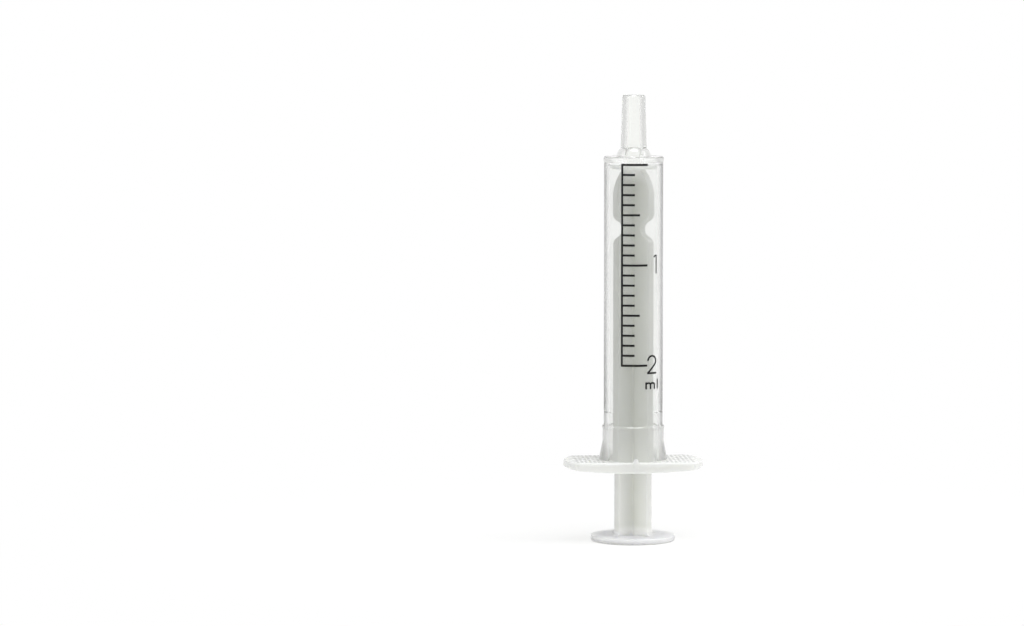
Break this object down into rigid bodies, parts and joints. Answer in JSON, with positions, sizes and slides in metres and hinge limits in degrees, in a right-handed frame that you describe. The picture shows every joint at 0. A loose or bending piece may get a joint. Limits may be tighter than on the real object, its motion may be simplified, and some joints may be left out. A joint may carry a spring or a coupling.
{
  "type": "luer slip syringe",
  "caption": "Two-piece disposable syringe: a clear graduated barrel with a slip nozzle and finger flange, and a sliding ribbed plunger with an integral seal and thumb rest.",
  "frame": {"origin": "middle of the underside of the thumb rest, on which the syringe stands nozzle up with the plunger fully in", "axes": "+Z along the bore towards the nozzle, X along the finger flange, the printed scale faces -Y"},
  "size_m": [0.0244, 0.0148, 0.0784],
  "materials": {
    "clear_barrel": "clear moulded polypropylene",
    "milky_plunger": "milky moulded polyethylene",
    "scale_ink": "black printed ink"
  },
  "bodies": {
    "barrel": {"barrel": "clear_barrel", "scale_print": "scale_ink"},
    "plunger": {"plunger": "milky_plunger"}
  },
  "joints": [
    {"name": "plunger_slide", "type": "slide", "parent": "barrel", "child": "plunger", "axis": [0, 0, -1], "range_m": [0, 0.042]}
  ]
}
